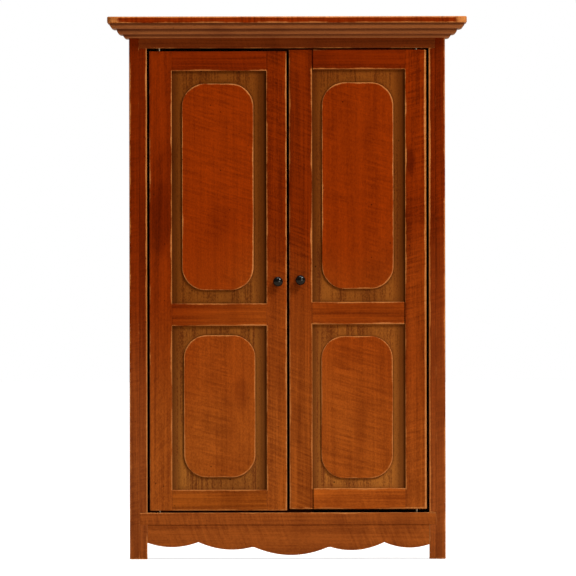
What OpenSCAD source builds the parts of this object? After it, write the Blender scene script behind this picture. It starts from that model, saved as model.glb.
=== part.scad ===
// Miniature two-door wardrobe at one twelfth scale, in millimetres.
// X runs to the right, Y to the back and Z up. The origin is on the floor,
// under the middle of the outline that the cornice and the back make.
// The doors swing out to the front, which faces -Y.

/* [Carcass] */
// Width over the two side boards
carcass_w = 101.6; // [85:0.2:125]
// Depth from the front frame's face to the back
carcass_d = 46; // [38:0.5:60]
// Height from the floor to the top of the slab
total_h = 174.5; // [145:0.5:215]
// Thickness of a side board
side_t = 3.2; // [2.4:0.1:4]
// Thickness of the back board
back_t = 1.6; // [1:0.1:2.4]
// Depth of the rabbet that takes the back board, into each side board
rabbet_w = 1.6; // [1:0.1:2]
// Height of the back board's lower edge over the floor
back_lift = 5; // [4.5:0.5:9]
// Thickness of the floor board
floor_t = 2.4; // [1.6:0.1:3.2]
// Length of a side board's foot, front to back
foot_l = 9; // [7:0.5:12]
// Height of the arch between a side board's feet
foot_arch_h = 4.2; // [3:0.1:6]

/* [Front frame] */
// Thickness of the strips and rails round the doors
frame_t = 3.2; // [2.8:0.1:4.4]
// Width of the strip beside the left side board
left_strip_w = 2.5; // [1.8:0.1:3.2]
// Width of the strip beside the right side board
right_strip_w = 2.1; // [1.8:0.1:3.2]
// Height of the door opening's lower edge over the floor
base_h = 15; // [12.6:0.1:18.4]
// Height of the rail under the doors
bottom_rail_h = 3.9; // [3:0.1:4.6]
// Height of the frieze rail over the doors, up to the slab
frieze_h = 8.1; // [6.6:0.1:9.8]
// Thickness of the scalloped apron
apron_t = 2.4; // [1.8:0.1:3]
// How far the apron's face lies behind the frame's face
apron_setback = 0.2; // [0:0.05:0.5]

/* [Cornice] */
// Thickness of the slab on top
slab_t = 2.1; // [1.6:0.1:3.2]
// Overhang of the slab, at the front and at both sides
slab_overhang = 7; // [6.6:0.1:9]
// Radius of the slab's two front corners, seen from above
slab_corner_r = 1.8; // [0.8:0.1:3]
// Height of the moulding under the slab
moulding_h = 4.8; // [4:0.1:6]
// Projection of the moulding's top step
moulding_w = 6.2; // [4.8:0.1:6.4]

/* [Doors] */
// Thickness of a door
door_t = 3.2; // [2.8:0.1:4]
// Gap at the hinge side of each door, and between the doors
door_gap = 0.8; // [0.6:0.05:1.2]
// Gap over and under a door, added up
door_play = 1.6; // [1.4:0.05:2.4]
// Height of the left door over the rail that it stands on
left_door_lift = 0.65; // [0.4:0.05:1]
// Height of the right door over the rail that it stands on
right_door_lift = 1.1; // [0.4:0.05:1.2]
// Width of the left door's hinge stile
left_hinge_stile_w = 7.2; // [5.6:0.1:8.4]
// Width of the left door's meeting stile
left_meeting_stile_w = 6.5; // [5.6:0.1:8.4]
// Width of the right door's hinge stile
right_hinge_stile_w = 6.8; // [5.6:0.1:8.4]
// Width of the right door's meeting stile
right_meeting_stile_w = 7.4; // [5.6:0.1:8.4]
// Height of a door's top rail
top_rail_h = 6.3; // [5:0.1:7.6]
// Height of a door's middle rail
mid_rail_h = 7.2; // [5.8:0.1:8.6]
// Height of a door's bottom rail
low_rail_h = 6.7; // [5:0.1:8]
// Height of the middle rail's lower edge over the door's foot
mid_rail_z = 59.4; // [49:0.1:71]
// Width of the open shoulder joints on the right door
open_joint = 0.2; // [0:0.05:0.4]

/* [Door panels] */
// Depth of the flat panels behind the frame's face
panel_recess = 0.9; // [0.7:0.05:1.1]
// Thickness of the flat panels
panel_t = 1.2; // [0.9:0.05:1.4]
// Depth of the groove that holds a panel, and of the tenon in it
groove_d = 1.2; // [0.8:0.1:1.6]
// Thickness of the raised field on a panel
field_t = 0.6; // [0.4:0.05:0.7]
// Width of a raised field
field_w = 23; // [18:0.1:24]
// Margin over and under an upper raised field
upper_field_margin = 4.2; // [3:0.1:5]
// Margin over and under a lower raised field
lower_field_margin = 3.5; // [3:0.1:5]
// Radius of a raised field's corners
field_r = 7.4; // [4:0.1:9]

/* [Hinge pins and knobs] */
// Diameter of a hinge pin
pin_d = 0.8; // [0.6:0.05:1]
// Distance from a door's hinge edge to its pin
pin_inset = 3.2; // [2.6:0.1:4]
// Length of a pin inside the door
pin_in_door = 4; // [3:0.1:4.8]
// Length of an upper pin inside the frieze rail
pin_in_frieze = 5; // [4:0.1:6]
// Diameter of a knob's head
knob_d = 3.2; // [2.4:0.1:4]
// Length of a knob in front of the door
knob_l = 2.8; // [2.2:0.1:3.6]
// Diameter of a knob's shank
knob_shank_d = 1.1; // [0.8:0.1:1.4]
// Height of the knobs over the middle rail
knob_rise = 7; // [4:0.1:10]
// Distance from the left knob to its door's free edge
left_knob_inset = 2.8; // [2.4:0.1:4.2]
// Distance from the right knob to its door's free edge
right_knob_inset = 3.6; // [2.4:0.1:4.2]

/* [Inside] */
// Height from the shelf's upper face to the door opening's upper edge
shelf_drop = 27; // [22:0.5:36]
// Thickness of the shelf
shelf_t = 2; // [1.6:0.1:2.6]
// Gap between a swinging door's edge and the shelf
shelf_clear = 1.2; // [0.8:0.1:2]
// Width and height of the cleats under the shelf
cleat_w = 2.4; // [1.8:0.1:3]
// Diameter of the hanging rail
rail_d = 3; // [2.4:0.1:3.6]
// Distance from the shelf's lower face to the middle of the rail
rail_drop = 8.5; // [7:0.5:12]
// Depth of the rail's sockets in the side boards
rail_socket = 1.2; // [0.8:0.1:1.6]
// Width of a door stop
stop_w = 16; // [12:0.5:20]
// Thickness of a door stop, front to back
stop_t = 3; // [2:0.1:4]
// How far a door stop reaches behind the doors
stop_reach = 2.6; // [2:0.1:4]
// Number of nails along each edge of the back board
nails_per_edge = 5; // [3:1:7]

/* [Hidden] */
$fn = 48;

// The two sides, as signs of X
LEFT = -1;
RIGHT = 1;
// The three rails of a door
TOP = 0;
MIDDLE = 1;
BOTTOM = 2;
// The two panels of a door
UPPER = 0;
LOWER = 1;

// Stains
BODY_STAIN = "sienna";
FIELD_STAIN = "#8a3a0a";
PANEL_STAIN = "#6b421c";
INSIDE_STAIN = "peru";
BLACK = "#1c1c20";
STEEL = "silver";

// Clearances
running_clear = 0.05; // a door's holes round their pins
slip_clear = 0.05;    // a part that is slid into a groove, rabbet or socket
press_clear = 0.02;   // a nail or a knob's shank, all round in its hole
end_clear = 0.1;      // the end of a tenon, panel or pin before its seat's end
stop_clear = 0.1;     // a closed door before its stop

// Planes of the carcass
front_y = (slab_overhang - carcass_d) / 2;
back_y = front_y + carcass_d;
slab_z = total_h - slab_t;
opening_top_z = slab_z - frieze_h;
opening_h = opening_top_z - base_h;
inner_half_w = carcass_w / 2 - side_t;
inner_back_y = back_y - back_t;
rail_foot_z = base_h - bottom_rail_h;

// Sizes of a door
door_w = (opening_x(RIGHT) - opening_x(LEFT) - 3 * door_gap) / 2;
door_h = opening_h - door_play;
pivot_y = front_y + door_t / 2;
mid_rail_top = mid_rail_z + mid_rail_h;
pin_r = pin_d / 2;
knob_shank_r = knob_shank_d / 2;

// Inside
stop_y = front_y + max(frame_t, door_t) + stop_clear;
swing_r = norm([pin_inset, door_t / 2]);
shelf_y = pivot_y + swing_r + shelf_clear;
shelf_top_z = opening_top_z - shelf_drop;
shelf_foot_z = shelf_top_z - shelf_t;
rail_z = shelf_foot_z - rail_drop;
rail_y = (shelf_y + inner_back_y) / 2;
rail_socket_r = rail_d / 2 + slip_clear;

// Nails in the back board
nail_r = 0.25;
nail_head_r = 0.6;
nail_head_t = 0.2;
nail_l = back_t + 2.4;
nail_x = inner_half_w + rabbet_w / 2;
nail_end_inset = 6;

// Raised fields are set by hand, so each sits a little off the middle: [X off the door's
// middle, Z off the panel's middle], for the left door's two panels and the right door's.
field_shift = [
    [[-0.1, 0.1], [0.4, 0.5]],
    [[0.0, 0.0], [-0.3, -0.3]]
];

// The apron's lower edge, as lobes that hang between points. Each point is [share of the
// apron's width, height over the floor], and each lobe has a depth below its chord.
apron_points = [
    [0, 5.3], [0.18, 5.5], [0.375, 4.0], [0.645, 4.0], [0.84, 5.4], [1, 4.7]
];
apron_depths = [1.5, 1.6, 2.7, 1.8, 1.4];
lobe_steps = 14;

// The edge of the door opening on one side, and the line that the door there turns on
function strip_w(side) = side == LEFT ? left_strip_w : right_strip_w;
function opening_x(side) = side * (inner_half_w - strip_w(side));
function pivot_x(side) = opening_x(side) - side * (door_gap + pin_inset);

// A box between two corners
module block(low, high) {
    translate(low) cube(high - low);
}

// ---- Carcass ----

module side_board(side) {
    half_chord = carcass_d / 2 - foot_l;
    arch_r = (half_chord * half_chord + foot_arch_h * foot_arch_h) / (2 * foot_arch_h);
    bore_l = 2 * side_t;
    color(BODY_STAIN)
    mirror([side == LEFT ? 1 : 0, 0, 0])
    difference() {
        block([inner_half_w, front_y, 0], [carcass_w / 2, back_y, slab_z]);
        // The rabbet for the back board
        block([inner_half_w - 1, inner_back_y, -1], [inner_half_w + rabbet_w, back_y + 1, slab_z + 1]);
        // The arch between the feet
        translate([inner_half_w - 1, (front_y + back_y) / 2, foot_arch_h - arch_r])
            rotate([0, 90, 0]) cylinder(h = side_t + 2, r = arch_r, $fn = 120);
        // The hanging rail's socket
        translate([inner_half_w - bore_l + rail_socket, rail_y, rail_z])
            rotate([0, 90, 0]) cylinder(h = bore_l, r = rail_socket_r);
        nails(press_clear, 1);
    }
}

module front_strip(side) {
    color(BODY_STAIN)
    mirror([side == LEFT ? 1 : 0, 0, 0])
        block([inner_half_w - strip_w(side), front_y, base_h],
              [inner_half_w, front_y + frame_t, opening_top_z]);
}

module leg_strip(side) {
    color(BODY_STAIN)
    mirror([side == LEFT ? 1 : 0, 0, 0])
        block([inner_half_w - strip_w(side), front_y, 0],
              [inner_half_w, front_y + frame_t, rail_foot_z]);
}

// A hinge pin's bore or shank, on the pivot line of one door
module on_pivot(side, z) {
    translate([pivot_x(side), pivot_y, z]) children();
}

module frieze_rail() {
    color(BODY_STAIN)
    difference() {
        block([-inner_half_w, front_y, opening_top_z], [inner_half_w, front_y + frame_t, slab_z]);
        for (side = [LEFT, RIGHT])
            on_pivot(side, opening_top_z - 1) cylinder(h = pin_in_frieze + 1, r = pin_r);
    }
}

module bottom_rail() {
    color(BODY_STAIN)
    difference() {
        block([-inner_half_w, front_y, rail_foot_z], [inner_half_w, front_y + frame_t, base_h]);
        for (side = [LEFT, RIGHT])
            on_pivot(side, rail_foot_z - 1) cylinder(h = bottom_rail_h + 2, r = pin_r);
    }
}

// X at a share of the apron's width
function apron_x(share) = opening_x(LEFT) + share * (opening_x(RIGHT) - opening_x(LEFT));

// Points of one lobe, from a towards b, hanging down by depth
function lobe(a, b, depth) = [
    for (i = [0:lobe_steps - 1])
        let (t = i / lobe_steps)
        [
            apron_x(a[0] + (b[0] - a[0]) * t),
            a[1] + (b[1] - a[1]) * t - 4 * depth * t * (1 - t)
        ]
];

function apron_edge() = [
    for (i = [0:len(apron_depths) - 1])
        each lobe(apron_points[i], apron_points[i + 1], apron_depths[i])
];

module apron() {
    last = apron_points[len(apron_points) - 1];
    outline = concat(
        apron_edge(),
        [[apron_x(1), last[1]], [apron_x(1), rail_foot_z], [apron_x(0), rail_foot_z]]
    );
    color(BODY_STAIN)
    translate([0, front_y + apron_setback + apron_t, 0])
        rotate([90, 0, 0]) linear_extrude(apron_t) polygon(outline);
}

module floor_board() {
    color(INSIDE_STAIN)
        block([-inner_half_w, front_y + frame_t, base_h - floor_t], [inner_half_w, inner_back_y, base_h]);
}

// The back board's nails, with their heads flush. Made larger all round by clear, and
// standing proud, they cut their own holes.
module nails(clear, proud) {
    for (side = [LEFT, RIGHT], i = [0:nails_per_edge - 1])
        translate([side * nail_x, back_y + proud, nail_z(i)])
            rotate([90, 0, 0]) {
                cylinder(h = nail_head_t + proud, r = nail_head_r + clear);
                cylinder(h = nail_l + proud, r = nail_r + clear);
            }
}

function nail_z(i) =
    back_lift + nail_end_inset + i * (slab_z - back_lift - 2 * nail_end_inset) / (nails_per_edge - 1);

module back_board() {
    half_w = inner_half_w + rabbet_w - slip_clear;
    color(INSIDE_STAIN)
    difference() {
        block([-half_w, inner_back_y, back_lift], [half_w, back_y, slab_z]);
        nails(press_clear, 1);
    }
}

module back_board_nails() {
    color(STEEL) nails(0, 0);
}

// ---- Cornice ----

module top_slab() {
    half_w = carcass_w / 2 + slab_overhang;
    slab_front_y = front_y - slab_overhang;
    color(BODY_STAIN)
    translate([0, 0, slab_z])
    linear_extrude(slab_t)
    union() {
        translate([-half_w, slab_front_y + slab_corner_r])
            square([2 * half_w, back_y - slab_front_y - slab_corner_r]);
        translate([-half_w + slab_corner_r, slab_front_y])
            square([2 * (half_w - slab_corner_r), slab_corner_r + 1]);
        for (side = [LEFT, RIGHT])
            translate([side * (half_w - slab_corner_r), slab_front_y + slab_corner_r])
                circle(slab_corner_r);
    }
}

// One step of the moulding: a flat nose over a quarter round. It projects by a share of
// the moulding's width, and its heights and radius are shares of the moulding's height.
module moulding_step(width_share, low_share, high_share, r_share) {
    p = moulding_w * width_share;
    low = moulding_h * low_share;
    high = moulding_h * high_share;
    r = min(moulding_h * r_share, p * 0.85);
    translate([0, low]) square([p - r, high - low]);
    translate([0, low + r]) square([p, high - low - r]);
    translate([p - r, low + r]) circle(r);
}

// The moulding in section, with the carcass on its left
module moulding_section() {
    square([moulding_w * 0.06, moulding_h]);
    moulding_step(0.31, 0.04, 0.34, 0.27);
    moulding_step(0.63, 0.29, 0.65, 0.31);
    moulding_step(1, 0.615, 1, 0.333);
}

module cornice_front() {
    half_w = carcass_w / 2;
    reach = slab_overhang;
    color(BODY_STAIN)
    intersection() {
        translate([half_w + reach, front_y, slab_z - moulding_h])
            rotate([90, 0, -90]) linear_extrude(2 * (half_w + reach)) moulding_section();
        // The two mitres
        translate([0, 0, slab_z - moulding_h]) linear_extrude(moulding_h) polygon([
            [-half_w, front_y], [half_w, front_y],
            [half_w + reach, front_y - reach], [-half_w - reach, front_y - reach]
        ]);
    }
}

module cornice_return(side) {
    half_w = carcass_w / 2;
    reach = slab_overhang;
    color(BODY_STAIN)
    mirror([side == LEFT ? 1 : 0, 0, 0])
    intersection() {
        translate([half_w, back_y, slab_z - moulding_h])
            rotate([90, 0, 0]) linear_extrude(carcass_d + reach) moulding_section();
        // The mitre
        translate([0, 0, slab_z - moulding_h]) linear_extrude(moulding_h) polygon([
            [half_w, front_y], [half_w + reach, front_y - reach],
            [half_w + reach, back_y], [half_w, back_y]
        ]);
    }
}

// ---- Inside ----

module shelf() {
    color(INSIDE_STAIN)
        block([-inner_half_w, shelf_y, shelf_foot_z], [inner_half_w, inner_back_y, shelf_top_z]);
}

module shelf_cleat(side) {
    color(INSIDE_STAIN)
    mirror([side == LEFT ? 1 : 0, 0, 0])
        block([inner_half_w - cleat_w, shelf_y + 1, shelf_foot_z - cleat_w],
              [inner_half_w, inner_back_y, shelf_foot_z]);
}

module hanging_rail() {
    half_l = inner_half_w + rail_socket - end_clear;
    color(INSIDE_STAIN)
    translate([-half_l, rail_y, rail_z]) rotate([0, 90, 0]) cylinder(h = 2 * half_l, d = rail_d);
}

module door_stop_upper() {
    color(INSIDE_STAIN)
        block([-stop_w / 2, stop_y, opening_top_z - stop_reach], [stop_w / 2, stop_y + stop_t, slab_z]);
}

module door_stop_lower() {
    color(INSIDE_STAIN)
        block([-stop_w / 2, stop_y, base_h], [stop_w / 2, stop_y + stop_t, base_h + stop_reach]);
}

// ---- Hinge pins ----

function door_foot_z(side) = base_h + (side == LEFT ? left_door_lift : right_door_lift);

module upper_hinge_pin(side) {
    tip_z = door_foot_z(side) + door_h - pin_in_door;
    color(STEEL)
        on_pivot(side, tip_z) cylinder(h = opening_top_z + pin_in_frieze - tip_z, r = pin_r);
}

module lower_hinge_pin(side) {
    color(STEEL)
        on_pivot(side, rail_foot_z) cylinder(h = door_foot_z(side) + pin_in_door - rail_foot_z, r = pin_r);
}

// ---- Doors ----

function hinge_stile_w(side) = side == LEFT ? left_hinge_stile_w : right_hinge_stile_w;
function meeting_stile_w(side) = side == LEFT ? left_meeting_stile_w : right_meeting_stile_w;
function knob_inset(side) = side == LEFT ? left_knob_inset : right_knob_inset;

// A door's own frame: X from the hinge edge to the free edge, Y from the face
// to the back, Z up from the door's foot. The right door is the left one mirrored.
module in_door(side) {
    translate([opening_x(side) - side * door_gap, front_y, door_foot_z(side)])
        mirror([side == RIGHT ? 1 : 0, 0, 0]) children();
}

// The groove for the panels, along the edge of a stile that starts at X = 0 and is w wide
module panel_groove(w) {
    block([w - groove_d, panel_recess - slip_clear, -1],
          [w + 1, panel_recess + panel_t + slip_clear, door_h + 1]);
}

module hinge_stile(side) {
    hole_l = pin_in_door + end_clear;
    color(BODY_STAIN)
    in_door(side)
    difference() {
        block([0, 0, 0], [hinge_stile_w(side), door_t, door_h]);
        panel_groove(hinge_stile_w(side));
        // The two blind holes that turn on the pins
        for (z = [-1, door_h - hole_l])
            translate([pin_inset, door_t / 2, z]) cylinder(h = hole_l + 1, r = pin_r + running_clear);
    }
}

module meeting_stile(side) {
    color(BODY_STAIN)
    in_door(side)
    difference() {
        block([door_w - meeting_stile_w(side), 0, 0], [door_w, door_t, door_h]);
        translate([door_w, 0, 0]) mirror([1, 0, 0]) panel_groove(meeting_stile_w(side));
        // The knob's hole
        translate([door_w - knob_inset(side), -1, mid_rail_top + knob_rise])
            rotate([-90, 0, 0]) cylinder(h = door_t + 2, r = knob_shank_r + press_clear);
    }
}

// Lower and upper edge of each rail, over the door's foot
function rail_span(level) =
    level == TOP ? [door_h - top_rail_h, door_h] :
    level == MIDDLE ? [mid_rail_z, mid_rail_top] :
    [0, low_rail_h];

module door_rail(side, level) {
    z = rail_span(level);
    loose = side == RIGHT ? open_joint : 0;
    x0 = hinge_stile_w(side) + (level == MIDDLE ? loose : 0);
    x1 = door_w - meeting_stile_w(side) - (level == MIDDLE ? 0 : loose);
    tongue = groove_d - end_clear;
    color(BODY_STAIN)
    in_door(side)
    difference() {
        union() {
            block([x0, 0, z[0]], [x1, door_t, z[1]]);
            // The stub tenons
            block([hinge_stile_w(side) - tongue, panel_recess, z[0]],
                  [door_w - meeting_stile_w(side) + tongue, panel_recess + panel_t, z[1]]);
        }
        if (level != BOTTOM) rail_groove(z[0], 1);
        if (level != TOP) rail_groove(z[1], -1);
    }
}

// The groove for a panel in a rail's edge at height z, cut in the direction of way
module rail_groove(z, way) {
    depth_z = z + way * groove_d;
    open_z = z - way;
    block([0, panel_recess - slip_clear, min(depth_z, open_z)],
          [door_w, panel_recess + panel_t + slip_clear, max(depth_z, open_z)]);
}

// Lower and upper edge of the opening for each panel, over the door's foot
function panel_span(place) =
    place == UPPER ? [mid_rail_top, door_h - top_rail_h] : [low_rail_h, mid_rail_z];

module flat_panel(side, place) {
    z = panel_span(place);
    tongue = groove_d - end_clear;
    color(PANEL_STAIN)
    in_door(side)
        block([hinge_stile_w(side) - tongue, panel_recess, z[0] - tongue],
              [door_w - meeting_stile_w(side) + tongue, panel_recess + panel_t, z[1] + tongue]);
}

// A rectangle with round corners, about its own middle
module round_rectangle(w, h, r) {
    square([w - 2 * r, h], center = true);
    square([w, h - 2 * r], center = true);
    for (x = [-1, 1], y = [-1, 1])
        translate([x * (w / 2 - r), y * (h / 2 - r)]) circle(r);
}

module raised_field(side, place) {
    z = panel_span(place);
    shift = field_shift[side == LEFT ? 0 : 1][place];
    h = z[1] - z[0] - 2 * (place == UPPER ? upper_field_margin : lower_field_margin);
    r = min(field_r, field_w / 2 - 0.5, h / 2 - 0.5);
    color(FIELD_STAIN)
    in_door(side)
    translate([door_w / 2 - side * shift[0], panel_recess, (z[0] + z[1]) / 2 + shift[1]])
        rotate([90, 0, 0]) linear_extrude(field_t) round_rectangle(field_w, h, r);
}

// A turned knob: shank through the stile, collar, neck and domed head
module knob(side) {
    r = knob_d / 2;
    rim_l = knob_l * 0.62;
    dome_l = knob_l - rim_l;
    color(BLACK)
    in_door(side)
    translate([door_w - knob_inset(side), 0, mid_rail_top + knob_rise])
    rotate([90, 0, 0])
    rotate_extrude($fn = 48)
    polygon(concat(
        [[0, -door_t], [knob_shank_r, -door_t], [knob_shank_r, 0], [r * 0.66, 0],
         [r * 0.66, knob_l * 0.1], [r * 0.45, knob_l * 0.2], [r * 0.45, knob_l * 0.34],
         [r * 0.92, knob_l * 0.48]],
        [for (a = [0:10:80]) [r * cos(a), rim_l + dome_l * sin(a)]],
        [[0, knob_l]]
    ));
}

side_board(LEFT);  // side_left
side_board(RIGHT);  // side_right
front_strip(LEFT);  // front_strip_left
front_strip(RIGHT);  // front_strip_right
leg_strip(LEFT);  // leg_strip_left
leg_strip(RIGHT);  // leg_strip_right
frieze_rail();
bottom_rail();
apron();
floor_board();
back_board();
back_board_nails();
top_slab();
cornice_front();
cornice_return(LEFT);  // cornice_left
cornice_return(RIGHT);  // cornice_right
shelf();
shelf_cleat(LEFT);  // shelf_cleat_left
shelf_cleat(RIGHT);  // shelf_cleat_right
hanging_rail();
door_stop_upper();
door_stop_lower();
upper_hinge_pin(LEFT);  // left_upper_hinge_pin
lower_hinge_pin(LEFT);  // left_lower_hinge_pin
upper_hinge_pin(RIGHT);  // right_upper_hinge_pin
lower_hinge_pin(RIGHT);  // right_lower_hinge_pin
hinge_stile(LEFT);  // left_door_hinge_stile
meeting_stile(LEFT);  // left_door_meeting_stile
door_rail(LEFT, TOP);  // left_door_top_rail
door_rail(LEFT, MIDDLE);  // left_door_middle_rail
door_rail(LEFT, BOTTOM);  // left_door_bottom_rail
flat_panel(LEFT, UPPER);  // left_door_upper_panel
flat_panel(LEFT, LOWER);  // left_door_lower_panel
raised_field(LEFT, UPPER);  // left_door_upper_field
raised_field(LEFT, LOWER);  // left_door_lower_field
knob(LEFT);  // left_knob
hinge_stile(RIGHT);  // right_door_hinge_stile
meeting_stile(RIGHT);  // right_door_meeting_stile
door_rail(RIGHT, TOP);  // right_door_top_rail
door_rail(RIGHT, MIDDLE);  // right_door_middle_rail
door_rail(RIGHT, BOTTOM);  // right_door_bottom_rail
flat_panel(RIGHT, UPPER);  // right_door_upper_panel
flat_panel(RIGHT, LOWER);  // right_door_lower_panel
raised_field(RIGHT, UPPER);  // right_door_upper_field
raised_field(RIGHT, LOWER);  // right_door_lower_field
knob(RIGHT);  // right_knob
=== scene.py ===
# %% [markdown]
# # A miniature wardrobe in stained wood
# The wardrobe is dolls' house furniture, one twelfth of life size. It has a carcass, two framed
# doors that turn on wire pins, and a few small fittings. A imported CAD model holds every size, place
# and joint. This notebook dresses that model: it builds each board again with the soft, worn
# arrises of real furniture, stains it, and lights it. It could use the CAD boards as they are, but
# their edges are perfectly sharp, and a sharp edge catches no light.

# %% Load the frame that everything fits
import math
import random

import bmesh
import bpy
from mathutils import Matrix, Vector


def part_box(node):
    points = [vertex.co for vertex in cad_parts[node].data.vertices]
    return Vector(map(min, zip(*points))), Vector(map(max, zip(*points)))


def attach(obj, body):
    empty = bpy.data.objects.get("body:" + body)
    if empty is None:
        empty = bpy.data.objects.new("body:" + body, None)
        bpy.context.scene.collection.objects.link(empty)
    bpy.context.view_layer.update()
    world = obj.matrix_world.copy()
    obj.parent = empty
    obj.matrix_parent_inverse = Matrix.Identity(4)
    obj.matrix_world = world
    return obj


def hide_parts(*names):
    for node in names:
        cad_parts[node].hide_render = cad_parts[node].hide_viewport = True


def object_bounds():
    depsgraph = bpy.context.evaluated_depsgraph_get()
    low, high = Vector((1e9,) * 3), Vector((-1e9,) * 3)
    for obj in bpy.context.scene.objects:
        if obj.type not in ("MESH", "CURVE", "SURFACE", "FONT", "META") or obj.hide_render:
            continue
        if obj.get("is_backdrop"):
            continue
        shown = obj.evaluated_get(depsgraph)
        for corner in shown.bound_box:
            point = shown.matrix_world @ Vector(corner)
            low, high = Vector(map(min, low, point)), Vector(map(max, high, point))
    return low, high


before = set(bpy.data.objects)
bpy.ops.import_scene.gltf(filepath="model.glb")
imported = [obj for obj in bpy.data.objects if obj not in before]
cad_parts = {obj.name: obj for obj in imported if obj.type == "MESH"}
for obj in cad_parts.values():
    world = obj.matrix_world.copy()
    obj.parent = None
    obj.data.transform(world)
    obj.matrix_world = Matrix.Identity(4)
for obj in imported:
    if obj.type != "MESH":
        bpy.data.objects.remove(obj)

MM = 0.001
cad_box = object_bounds()
HEIGHT = cad_box[1].z
print("CAD model:", [round(v / MM, 1) for v in cad_box[1] - cad_box[0]], "mm,", len(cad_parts), "nodes")

# %% [markdown]
# ## Camera
# The wardrobe is seen from straight in front, from far away and at half its height, as a catalogue
# shows furniture. A long lens keeps its uprights parallel. The view's width is given at the plane of
# the doors, so the lens follows from the distance.

# %% Camera
VIEW_WIDTH = 185.2 * MM  # what the frame's width holds, at the doors
VIEW_DISTANCE = 8.0  # from the lens to the doors
VIEW_SIDE = 0.2 * MM  # the lens stands this far to the right of the middle
VIEW_HEIGHT = 87.2 * MM
VIEW_ROLL = math.radians(0.1)  # the lens wasn't quite level

front_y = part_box("bottom_rail")[0].y
camera_data = bpy.data.cameras.new("camera")
camera = bpy.data.objects.new("camera", camera_data)
bpy.context.scene.collection.objects.link(camera)
camera_data.sensor_width = 36
camera_data.lens = camera_data.sensor_width * VIEW_DISTANCE / VIEW_WIDTH
camera_data.clip_start = 0.1
camera_data.clip_end = 50
camera.location = (VIEW_SIDE, front_y - VIEW_DISTANCE, VIEW_HEIGHT)
camera.rotation_euler = (math.radians(90), VIEW_ROLL, 0)
bpy.context.scene.camera = camera
print("lens:", round(camera_data.lens), "mm")

# %% [markdown]
# ## Boards with worn arrises
# A board starts as a cube at the board's size and place. Its arrises, the long edges between two
# faces, were rubbed round by sandpaper and by fingers, so a Bevel modifier rounds them. The edges
# where two boards are glued together stay nearly sharp, so each edge gets its own bevel weight.
# The flat faces then get a narrow inset border. The border carries an attribute called wear, which
# runs from 1 on the arris to 0 inside the border, so that the stain can fade along the arris. A
# bevel or pointiness shader could find the edges too, but an attribute is exact and costs nothing.

# %% Sizes of the worn arrises
BORDER = 0.5 * MM  # width of the inset border in which wear fades
JOINT_WEIGHT = 0.25  # bevel weight of an edge that is glued to a neighbour
SHARP = math.radians(35)  # edges that turn more than this are arrises
NEAR = 0.1 * MM  # how close an edge has to be to count as lying in a plane
draw = random.Random(12)  # gives every board its own place in the grain
print("arrises: border", BORDER / MM, "mm, sharper than", round(math.degrees(SHARP)), "degrees")

# %% Helpers for edit mode
def activate(piece):
    """Selects one object alone and makes it the active one."""
    bpy.ops.object.select_all(action="DESELECT")
    piece.select_set(True)
    bpy.context.view_layer.objects.active = piece


def open_edit(piece, mode="FACE"):
    """Opens one piece alone in edit mode, with nothing selected."""
    activate(piece)
    bpy.ops.object.mode_set(mode="EDIT")
    bpy.ops.mesh.select_mode(type=mode)
    bpy.ops.mesh.select_all(action="DESELECT")


def close_edit():
    bpy.ops.object.mode_set(mode="OBJECT")


def select(piece, mode, wanted):
    """In edit mode, selects just the vertices, edges or faces that wanted() picks."""
    bpy.ops.mesh.select_mode(type=mode)
    bpy.ops.mesh.select_all(action="DESELECT")
    mesh = bmesh.from_edit_mesh(piece.data)
    items = {"VERT": mesh.verts, "EDGE": mesh.edges, "FACE": mesh.faces}[mode]
    count = 0
    for item in items:
        if wanted(item):
            item.select_set(True)
            count += 1
    mesh.select_flush_mode()
    bmesh.update_edit_mesh(piece.data)
    return count


def slice_mesh(piece, place, normal, **settings):
    """Bisects the whole piece along a plane."""
    open_edit(piece)
    bpy.ops.mesh.select_all(action="SELECT")
    bpy.ops.mesh.bisect(plane_co=place, plane_no=normal, **settings)
    close_edit()


def turn_outward():
    """In edit mode, recalculates all normals."""
    bpy.ops.mesh.select_all(action="SELECT")
    bpy.ops.mesh.normals_make_consistent(inside=False)


def store(piece, label, values):
    """Writes one number for each vertex as an attribute."""
    layer = piece.data.attributes.new(label, "FLOAT", "POINT")
    layer.data.foreach_set("value", values)


# %% Helpers for blocks
def add_block(name, low, high):
    """A cube primitive with its corners at low and high, and its object at the origin."""
    low, high = Vector(low), Vector(high)
    bpy.ops.object.select_all(action="DESELECT")
    bpy.ops.mesh.primitive_cube_add(size=1, location=(low + high) / 2, scale=high - low)
    bpy.ops.object.transform_apply(location=True, rotation=True, scale=True)
    piece = bpy.context.object
    piece.name = piece.data.name = name
    return piece


def edge_middle(edge):
    return (edge.verts[0].co + edge.verts[1].co) / 2


def looks(face, axis, sign):
    """True if the face looks along that axis (0, 1, 2), towards sign."""
    return face.normal[axis] * sign > 0.999


def apply_modifier(piece, kind, **settings):
    activate(piece)
    modifier = piece.modifiers.new(kind.title(), kind)
    for key, value in settings.items():
        setattr(modifier, key, value)
    bpy.ops.object.modifier_apply(modifier=modifier.name)


# %% Round the arrises and store their wear
def nearest(point, start, end):
    """Distance from a point to the stretch from start to end."""
    along = end - start
    share = max(0.0, min(1.0, (point - start).dot(along) / max(along.length_squared, 1e-12)))
    return (point - start - along * share).length


def score(piece, inset):
    """Cuts the mesh a little inside each end, so that wear on one arris can't run round a corner."""
    corners = [Vector(corner) for corner in piece.bound_box]
    for axis in range(3):
        low, high = min(c[axis] for c in corners), max(c[axis] for c in corners)
        if high - low > 4 * inset:
            for place in (low + inset, high - inset):
                normal = [1.0 if i == axis else 0.0 for i in range(3)]
                slice_mesh(piece, [n * place for n in normal], normal)


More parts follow.
